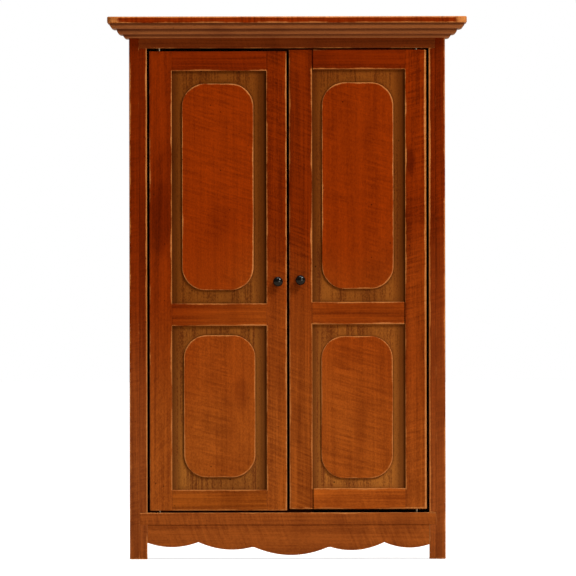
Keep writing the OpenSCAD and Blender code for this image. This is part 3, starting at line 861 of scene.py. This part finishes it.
BEAD_SHADE = 0.7  # how dark the painted shade is on a bead just below its fully shaded band


def paint_bead_shade(piece):
    """Writes painted shade into the wear attribute: a dark band under each bead and under the slab, the
    shadow that they cast, fading down towards the foot of the bead below.
    """
    values = []
    for vertex in piece.data.vertices:
        out = max(front_y - vertex.co.y, abs(vertex.co.x) - side_high_x) / mould_w
        up = (vertex.co.z - moulding_low.z) / mould_h
        start, stain_and_shade_level = [(b[1], b[3]) for b in BEADS if out < b[0] + 0.01][0]
        share = max(0.0, (up - start) / (stain_and_shade_level - start))
        values.append(min(1.0, share * BEAD_SHADE if share < 0.9 else 1.0))
    store(piece, "wear", values)


side_high_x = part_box("side_right")[1].x

# %% Cut the moulding to its three lengths
def cut(piece, place, normal):
    """Bisects a piece and keeps what lies behind the plane."""
    slice_mesh(piece, place, normal, use_fill=True, clear_outer=True)
    open_edit(piece)
    turn_outward()
    close_edit()


def extrude_section(piece, length):
    open_edit(piece)
    bpy.ops.mesh.select_all(action="SELECT")
    bpy.ops.mesh.extrude_region_move(TRANSFORM_OT_translate={"value": (length, 0, 0)})
    turn_outward()
    close_edit()


half_width = moulding_high.x
piece = draw_section("cornice_moulding_front")
extrude_section(piece, 2 * half_width)
piece.location.x = -half_width
bpy.ops.object.transform_apply(location=True)
cut(piece, (side_high_x, front_y, 0), (1, 1, 0))
cut(piece, (-side_high_x, front_y, 0), (-1, 1, 0))
paint_bead_shade(piece)
finish(piece, "carcass", ["cornice_front"], cornice_wood, grain="X")
print(piece.name, len(piece.data.polygons), "faces")

for side, sign in (("left", -1), ("right", 1)):
    low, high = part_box("cornice_" + side)
    piece = draw_section("cornice_moulding_" + side)
    extrude_section(piece, sign * (high.y - low.y + mould_w))
    # Turn the stick about the carcass's front corner, so that it runs along the side
    piece.location = (0, -front_y, 0)
    bpy.ops.object.transform_apply(location=True)
    piece.rotation_euler.z = sign * math.pi / 2
    piece.location = (sign * side_high_x, low.y, 0)
    bpy.ops.object.transform_apply(location=True, rotation=True)
    cut(piece, (sign * side_high_x, front_y, 0), (-sign, -1, 0))
    cut(piece, (0, high.y, 0), (0, 1, 0))
    paint_bead_shade(piece)
    finish(piece, "carcass", ["cornice_" + side], cornice_wood, grain="Y")
    print(piece.name, [round(v / MM, 1) for v in piece.dimensions])

# %% [markdown]
# ## Back board
# The back is one thin board, let into rabbets and held by ten small nails, which are made with the
# wire pins below. The CAD nails are flush. Here the board's rear face lies a little deeper, so that
# the nail heads stand out from it as low domes.

# %% Back board
NAIL_RISE = 0.15 * MM
low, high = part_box("back_board")
board("back", "back_board", "carcass", inside_wood, width=0.15 * MM, joined="-x+x+z",
      low=low, high=(high.x, high.y - NAIL_RISE, high.z))

# %% [markdown]
# ## Doors
# A door is a frame of two stiles and three rails, and the stiles run through. A stile's inner front
# arris is worn where it borders a panel and sharp where a rail butts against it. So the stile is
# bisected at each rail's edges, and the stretches between them get their own wear. On the right
# door three joints have opened by a hair.

# %% Door frames
OPEN_JOINT = 0.3 * MM
STILE_ARRIS = 0.28 * MM
PANEL_WEAR = 0.9  # a stile's arris beside a panel
TOP_WEAR = 0.35  # the doors' top edges are out of reach
TENON_INSET = 0.9 * MM
OUTER_WEAR = {"left": 0.6, "right": 2.8}  # the right door rubs against its post
# How light each board is: the maker cut them from boards with different grain
TONES = {"left_hinge": 0.2, "left_meeting": -0.2, "right_meeting": -1.0, "right_hinge": 0.4,
         "left_top": 0.6, "left_middle": 0.5, "left_bottom": -2.2,
         "right_top": -0.4, "right_middle": 0.5, "right_bottom": 2.4}
# The strength and the slant of each stile's cross stripes
STILE_FIGURES = {"left_hinge": 0.45, "left_meeting": 1.0, "right_meeting": 1.1, "right_hinge": 1.3}
STILE_SLANTS = {"left_hinge": 0.9, "left_meeting": -0.35, "right_meeting": -0.4, "right_hinge": 0.3}


def rail_heights(side):
    """Lower and upper edge of each rail of a door."""
    spans = {}
    for level in ("top", "middle", "bottom"):
        low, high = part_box(f"{side}_door_{level}_rail")
        spans[level] = (low.z, high.z)
    return spans


def opening(side):
    """X of the left and right edge of the opening between a door's stiles."""
    stiles = sorted((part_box(f"{side}_door_hinge_stile"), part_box(f"{side}_door_meeting_stile")),
                    key=lambda box: box[0].x)
    return stiles[0][1].x, stiles[1][0].x


def stile(side, kind):
    """One stile of a door frame, with wear that knows where the rails butt against it."""
    node = f"{side}_door_{kind}_stile"
    low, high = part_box(node)
    rail_low, rail_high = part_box(f"{side}_door_middle_rail")
    middle_x = (rail_low.x + rail_high.x) / 2
    inner_x = high.x if middle_x > high.x else low.x
    spans = rail_heights(side)
    piece = add_block(f"{side}_{kind}_stile", low, high)
    for bottom, top in spans.values():
        for z in (bottom, bottom + BORDER, top - BORDER, top):
            if low.z + MM < z < high.z - MM:
                slice_mesh(piece, (0, 0, z), (0, 0, 1))

    def wear(middle, normals):
        if abs(middle.x - inner_x) < NEAR:
            at_rail = any(bottom - NEAR < middle.z < top + NEAR for bottom, top in spans.values())
            return 0.0 if at_rail else PANEL_WEAR
        if middle.z > high.z - NEAR:
            return TOP_WEAR
        return OUTER_WEAR[side] if kind == "hinge" else 1.0

    round_arrises(piece, STILE_ARRIS, wear)
    finish(piece, f"{side}_door", [node], door_wood, slant=STILE_SLANTS[side + "_" + kind],
           tone=TONES[side + "_" + kind], figure=STILE_FIGURES[side + "_" + kind])


def rail(side, level):
    """One rail of a door frame, between the stiles, with a stub tenon at each end."""
    node = f"{side}_door_{level}_rail"
    low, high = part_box(node)
    low.x, high.x = opening(side)
    if side == "right" and level == "middle":
        high.x -= OPEN_JOINT
    elif side == "right":
        low.x += OPEN_JOINT

    def wear(middle, normals):
        if max(abs(n.x) for n in normals) > 0.9:
            return 0.0
        return TOP_WEAR if level == "top" and middle.z > high.z - NEAR else 1.0

    piece = add_block(f"{side}_{level}_rail", low, high)
    round_arrises(piece, STILE_ARRIS, wear)
    # A stub tenon at each end closes the joint behind its shoulder
    open_edit(piece)
    for sign in (-1, 1):
        select(piece, "FACE", lambda f: looks(f, 0, sign) and f.calc_area() > 4 * MM * MM)
        bpy.ops.mesh.inset(thickness=TENON_INSET, depth=0)
        bpy.ops.mesh.extrude_region_move(TRANSFORM_OT_translate={"value": (sign * MM, 0, 0)})
    close_edit()
    finish(piece, f"{side}_door", [node], rail_wood, grain="X", tone=TONES[side + "_" + level])


for side in ("left", "right"):
    for kind in ("hinge", "meeting"):
        stile(side, kind)
    for level in ("top", "middle", "bottom"):
        rail(side, level)
    heights = [round((top - bottom) / MM, 1) for bottom, top in rail_heights(side).values()]
    print(side, "door frame: rails", heights, "mm high")

# %% [markdown]
# ## Panels and raised fields
# Behind each opening lies a flat panel, and a raised field with round corners is glued on its face.
# The panel is darker in the corner between the frame and the panel, and in a thin line round the
# field: partly stain that gathered there, and partly painted shade of the frame and the field, which
# is deepest beside the stile on the right. So the panel's faces are subdivided into a fine grid, and
# each of its points stores how dark it is there, from its distance to the frame and to the field. A
# pointiness shader would find the corners too, but not how far the brush kept away from them.

# %% Panels
FIELD_CORNER = 7.4 * MM
PANEL_CELLS = 56
PANEL_TONES = {"left_upper": -1.8, "left_lower": -1.0, "right_upper": 0.0, "right_lower": 1.8}
PANEL_MARGIN = 0.8 * MM
SIDE_REACH = 3.6 * MM  # how far the gathered stain and painted shade reach from the stiles,
END_REACH = 2.4 * MM  # from the rails
FIELD_REACH = 1.2 * MM  # and from the raised field


def outline_gap(x, z, low, high, radius):
    """Distance outside a rectangle with round corners (negative inside it)."""
    dx = abs(x - (low.x + high.x) / 2) - (high.x - low.x) / 2 + radius
    dz = abs(z - (low.z + high.z) / 2) - (high.z - low.z) / 2 + radius
    return math.hypot(max(dx, 0), max(dz, 0)) + min(max(dx, dz), 0) - radius


def panel(side, place):
    """A flat panel that stores at each point of its faces how dark it is there: gathered stain and painted
    shade.
    """
    node = f"{side}_door_{place}_panel"
    low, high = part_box(node)
    field_low, field_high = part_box(f"{side}_door_{place}_field")
    left_x, right_x = opening(side)
    spans = rail_heights(side)
    bottom_z = spans["middle"][1] if place == "upper" else spans["bottom"][1]
    top_z = spans["top"][0] if place == "upper" else spans["middle"][0]
    piece = add_block(f"{side}_{place}_panel", low, high)
    open_edit(piece)
    select(piece, "FACE", lambda f: looks(f, 1, -1) or looks(f, 1, 1))
    bpy.ops.mesh.inset(thickness=PANEL_MARGIN, depth=0)
    bpy.ops.mesh.subdivide(number_cuts=PANEL_CELLS)
    close_edit()
    values = []
    for vertex in piece.data.vertices:
        x, z = vertex.co.x, vertex.co.z
        at_left = 1 - max(0.0, x - left_x) / SIDE_REACH
        # The right side is darker: painted shadow of the stile on the right
        at_right = 1.25 - max(0.0, right_x - x) / SIDE_REACH
        at_ends = 0.55 - max(0.0, min(z - bottom_z, top_z - z)) / END_REACH
        outside = outline_gap(x, z, field_low, field_high, FIELD_CORNER)
        at_field = 0.75 - max(0.0, outside) / FIELD_REACH
        if vertex.co.y > high.y - 0.01 * MM:
            at_field = 0.0
        values.append(max(0.0, at_left, at_right, at_ends, at_field))
    # Here the wear attribute holds gathered stain and painted shade
    store(piece, "wear", values)
    finish(piece, f"{side}_door", [node], hollow_wood, tone=PANEL_TONES[side + "_" + place])


# %% Raised fields
def raised_field(side, place):
    """A raised field: its four corners are rounded in plan, and then its front arris."""
    node = f"{side}_door_{place}_field"
    low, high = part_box(node)
    piece = add_block(f"{side}_{place}_raised_field", low, high)
    open_edit(piece, "EDGE")
    select(piece, "EDGE", lambda edge: abs(edge.verts[0].co.y - edge.verts[1].co.y) > 1e-4)
    bpy.ops.mesh.bevel(offset=FIELD_CORNER, segments=14, affect="EDGES")
    close_edit()

    def wear(middle, normals):
        return 1.0 if any(n.y < -0.9 for n in normals) else 0.0

    round_arrises(piece, 0.2 * MM, wear, border=0.4 * MM)
    finish(piece, f"{side}_door", [node], field_wood, tone=0.0)
    return piece


for side in ("left", "right"):
    for place in ("upper", "lower"):
        panel(side, place)
        piece = raised_field(side, place)
    print(side, "door fields:", len(piece.data.polygons), "faces each")

# %% [markdown]
# ## Knobs
# Each knob is turned from metal and dipped in black enamel. Its outline is a few lines and one arc,
# so one vertex is extruded along it and the whole line is spun round the knob's axis.

# %% Helpers for the knobs
KNOB_FACES = 40


def turned(name, axis_point, outline):
    """Spins an outline of (radius, distance along -Y) about an axis through axis_point."""
    piece = start_outline(name, axis_point + Vector((outline[0][0], -outline[0][1], 0)))
    for (r0, y0), (r1, y1) in zip(outline, outline[1:]):
        bpy.ops.mesh.extrude_vertices_move(TRANSFORM_OT_translate={"value": (r1 - r0, y0 - y1, 0)})
    bpy.ops.mesh.select_all(action="SELECT")
    bpy.ops.mesh.spin(steps=KNOB_FACES, angle=2 * math.pi, center=axis_point, axis=(0, 1, 0))
    bpy.ops.mesh.select_all(action="SELECT")
    bpy.ops.mesh.remove_doubles(threshold=0.004 * MM)
    turn_outward()
    close_edit()
    return piece


def enamel(name):
    """Black enamel: glossy, with soft ripples from the dipping and a little rubbed dust."""
    material, tree = new_material(name)
    place = add_node(tree, "ShaderNodeTexCoord").outputs["Object"]
    ripple = noise(tree, place, (700, 700, 700), detail=2)
    dust = ramp(tree, noise(tree, place, (2600, 2600, 2600), detail=4), 0.5, 0.75)
    shader = add_node(tree, "ShaderNodeBsdfPrincipled")
    feed(tree, shader.inputs["Base Color"],
         mix(tree, dust, colour(0.003, 0.003, 0.003), colour(0.014, 0.009, 0.007)))
    shader.inputs["IOR"].default_value = 1.33
    feed(tree, shader.inputs["Roughness"], calc(tree, "ADD", calc(tree, "MULTIPLY", dust, 0.2), 0.12))
    finish_shader(tree, shader, ripple, 0.4, 0.03 * MM)
    return material


knob_enamel = enamel("knob_enamel")

# %% Turn one knob and copy it
low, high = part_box("left_knob")
radius = (high.x - low.x) / 2
length = front_y - low.y
middle = Vector(((low.x + high.x) / 2, front_y, (low.z + high.z) / 2))
rim = length * 0.6
outline = [(0, -0.5 * MM), (0.36 * radius, -0.5 * MM), (0.36 * radius, 0), (0.66 * radius, 0),
           (0.66 * radius, 0.1 * length), (0.48 * radius, 0.2 * length), (0.46 * radius, 0.34 * length),
           (0.8 * radius, 0.44 * length), (0.93 * radius, 0.5 * length)]
outline += [(radius * math.cos(math.radians(a)), rim + (length - rim) * math.sin(math.radians(a)))
            for a in range(-10, 90, 10)] + [(0, length)]
left_knob = turned("left_door_knob", middle, outline)
right_knob = left_knob.copy()
right_knob.data = left_knob.data.copy()
right_knob.name = right_knob.data.name = "right_door_knob"
bpy.context.scene.collection.objects.link(right_knob)
for vertex in right_knob.data.vertices:
    vertex.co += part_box("right_knob")[0] - low
finish(left_knob, "left_door", ["left_knob"], knob_enamel)
finish(right_knob, "right_door", ["right_knob"], knob_enamel)
print("knobs:", len(left_knob.data.polygons), "faces each, radius", round(radius / MM, 2), "mm")

# %% [markdown]
# ## Nails and wire
# The hinge pins and the nails are drawn steel, with fine scratches along them. The nails are bright,
# and the pins dark: painted shade, for they stand in the shaded gaps above and below the doors. The
# CAD pins are already true round wires, so they stay and only get the finish. One nail head is shaped
# as a low dome, and duplicated in edit mode up one edge of the back and then across to the other.

# %% Steel
def drawn_steel(name, bright, dull, rough=0.25, metal=1.0):
    """Steel wire: bright where it is clean, and dull where it has tarnished. metal is how
    metallic the clean parts are: painted or rusty steel is less so."""
    material, tree = new_material(name)
    place = add_node(tree, "ShaderNodeTexCoord").outputs["Object"]
    scratches = noise(tree, place, (9000, 9000, 400), detail=3)
    tarnish = ramp(tree, noise(tree, place, (900, 900, 900), detail=4, rough=0.7), 0.5, 0.7)
    shader = add_node(tree, "ShaderNodeBsdfPrincipled")
    feed(tree, shader.inputs["Base Color"], mix(tree, tarnish, bright, dull))
    clean = calc(tree, "SUBTRACT", 1.0, calc(tree, "MULTIPLY", tarnish, 0.6))
    feed(tree, shader.inputs["Metallic"], calc(tree, "MULTIPLY", metal, clean))
    feed(tree, shader.inputs["Roughness"],
         calc(tree, "ADD", calc(tree, "MULTIPLY", tarnish, 0.35), rough))
    finish_shader(tree, shader, scratches, 0.3, 0.01 * MM)
    return material


# Dark steel: painted shade, for the pins stand in the shaded gaps above and below the doors
shade_dark_pin_steel = drawn_steel("drawn_steel", colour(0.2, 0.16, 0.12), colour(0.07, 0.04, 0.025))
pins = [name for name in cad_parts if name.endswith("hinge_pin")]
for name in pins:
    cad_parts[name].data.materials.clear()
    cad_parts[name].data.materials.append(shade_dark_pin_steel)
print("pins:", pins)

# %% Nail heads
NAILS_PER_EDGE = 5
NAIL_RADIUS = 0.6 * MM
NAIL_DEPTH = 0.5 * MM
low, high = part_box("back_board_nails")
rise = (high.z - low.z - 2 * NAIL_RADIUS) / (NAILS_PER_EDGE - 1)
bpy.ops.object.select_all(action="DESELECT")
bpy.ops.mesh.primitive_cylinder_add(
    vertices=20, radius=NAIL_RADIUS, depth=NAIL_DEPTH, rotation=(math.pi / 2, 0, 0),
    location=(low.x + NAIL_RADIUS, high.y - 0.02 * MM - NAIL_DEPTH / 2, low.z + NAIL_RADIUS))
bpy.ops.object.transform_apply(location=True, rotation=True)
nails = bpy.context.object
nails.name = nails.data.name = "back_nails"
open_edit(nails)
select(nails, "FACE", lambda f: looks(f, 1, 1))
bpy.ops.mesh.bevel(offset=0.16 * MM, segments=3, affect="EDGES")
bpy.ops.mesh.select_all(action="SELECT")
for step in range(NAILS_PER_EDGE - 1):
    bpy.ops.mesh.duplicate_move(TRANSFORM_OT_translate={"value": (0, 0, rise)})
bpy.ops.mesh.select_all(action="SELECT")
bpy.ops.mesh.duplicate_move(TRANSFORM_OT_translate={"value": (high.x - low.x - 2 * NAIL_RADIUS, 0, 0)})
close_edit()
nail_steel = drawn_steel("nail_steel", colour(0.6, 0.53, 0.42), colour(0.25, 0.2, 0.15),
                         rough=0.4, metal=0.35)
finish(nails, "carcass", ["back_board_nails"], nail_steel)
print("nail heads:", 2 * NAILS_PER_EDGE, "in", nails.name)

# %% [markdown]
# ## Hanging rail
# The rail inside is a plain dowel in two sockets. The ends are hidden, so only its length is
# modelled, and its long sides are kept round by smooth shading.

# %% Hanging rail
low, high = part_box("hanging_rail")
bpy.ops.object.select_all(action="DESELECT")
bpy.ops.mesh.primitive_cylinder_add(vertices=32, radius=(high.z - low.z) / 2, depth=high.x - low.x,
                                    location=(low + high) / 2, rotation=(0, math.pi / 2, 0))
bpy.ops.object.transform_apply(location=True, rotation=True)
piece = bpy.context.object
piece.name = piece.data.name = "dowel_rail"
round_arrises(piece, 0.2 * MM, lambda middle, normals: 1.0)
finish(piece, "carcass", ["hanging_rail"], inside_wood, grain="X")
print("hanging rail:", [round(v / MM, 1) for v in piece.dimensions], "mm")

# %% [markdown]
# ## Floor, light and background
# The wardrobe stands on a plain pale floor in a white studio. The key light is a soft panel high on
# the right, in front. A low, weaker panel stands for the light that the floor throws back, a third
# one lights the back, and a wide sky light comes from above. The world is white where the camera
# sees it and dim and warm where the polish would reflect it, because a bright surround would veil
# the deep stain. The floor does the same: it glows a little for the camera, so that it meets the
# background without an edge, and is a warm grey for every other ray.

# %% Floor
bpy.ops.object.select_all(action="DESELECT")
bpy.ops.mesh.primitive_plane_add(size=30, location=(0, 0, 0))
ground = bpy.context.object
ground.name = "studio_floor"
floor_paint, tree = new_material("floor_paint")
matt = add_node(tree, "ShaderNodeBsdfDiffuse")
matt.inputs["Color"].default_value = colour(0.5, 0.5, 0.5)
warm = add_node(tree, "ShaderNodeBsdfDiffuse")
warm.inputs["Color"].default_value = colour(0.52, 0.43, 0.33)
glow = add_node(tree, "ShaderNodeEmission")
glow.inputs["Color"].default_value = colour(1, 1, 1)
glow.inputs["Strength"].default_value = 0.76
lit = add_node(tree, "ShaderNodeAddShader")
feed(tree, lit.inputs[0], matt.outputs[0])
feed(tree, lit.inputs[1], glow.outputs[0])
feed(tree, add_node(tree, "ShaderNodeOutputMaterial").inputs[0], for_camera(tree, lit, warm))
ground.data.materials.append(floor_paint)
ground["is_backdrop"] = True
print("floor:", round(ground.dimensions.x), "m wide")


# %% Lights
def panel_light(name, place, target, size, power, tint=(1, 1, 1)):
    data = bpy.data.lights.new(name, "AREA")
    data.size = size
    data.energy = power
    data.color = tint
    lamp = bpy.data.objects.new(name, data)
    bpy.context.scene.collection.objects.link(lamp)
    lamp.location = place
    lamp.rotation_euler = (Vector(target) - Vector(place)).to_track_quat("-Z", "Y").to_euler()


middle = (0, front_y, HEIGHT / 2)
panel_light("key", (0.75, -0.75, 1.1), middle, 0.35, 20)
panel_light("low_fill", (0.45, -0.95, 0.16), (0, front_y, 0.06), 0.4, 2.4, (1, 0.93, 0.84))
panel_light("back_fill", (-0.6, 1.3, 0.7), middle, 0.6, 9, (1, 0.95, 0.88))
sun_data = bpy.data.lights.new("sky", "SUN")
sun_data.energy = 2.6
sun_data.angle = math.radians(40)
sky = bpy.data.objects.new("sky", sun_data)
bpy.context.scene.collection.objects.link(sky)

world = bpy.data.worlds.new("studio")
bpy.context.scene.world = world
world.use_nodes = True
tree = world.node_tree
tree.nodes.clear()
dim = add_node(tree, "ShaderNodeBackground")
dim.inputs["Color"].default_value = colour(1, 0.84, 0.64)
dim.inputs["Strength"].default_value = 0.1
white = add_node(tree, "ShaderNodeBackground")
white.inputs["Color"].default_value = colour(1, 1, 1)
white.inputs["Strength"].default_value = 1.0
feed(tree, add_node(tree, "ShaderNodeOutputWorld").inputs[0], for_camera(tree, white, dim))
bpy.context.scene.view_settings.view_transform = "Standard"

# %% [markdown]
# ## Sizes
# Both boxes, the CAD model's and the visual model's, are printed. The visual model has to
# stay inside the CAD model's box.

# %% Sizes and finish
boxes = [[list(corner) for corner in box] for box in (cad_box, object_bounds())]
for name, (low, high) in zip(("CAD", "visual"), boxes):
    print(name, [round((b - a) / MM, 2) for a, b in zip(low, high)], "mm")
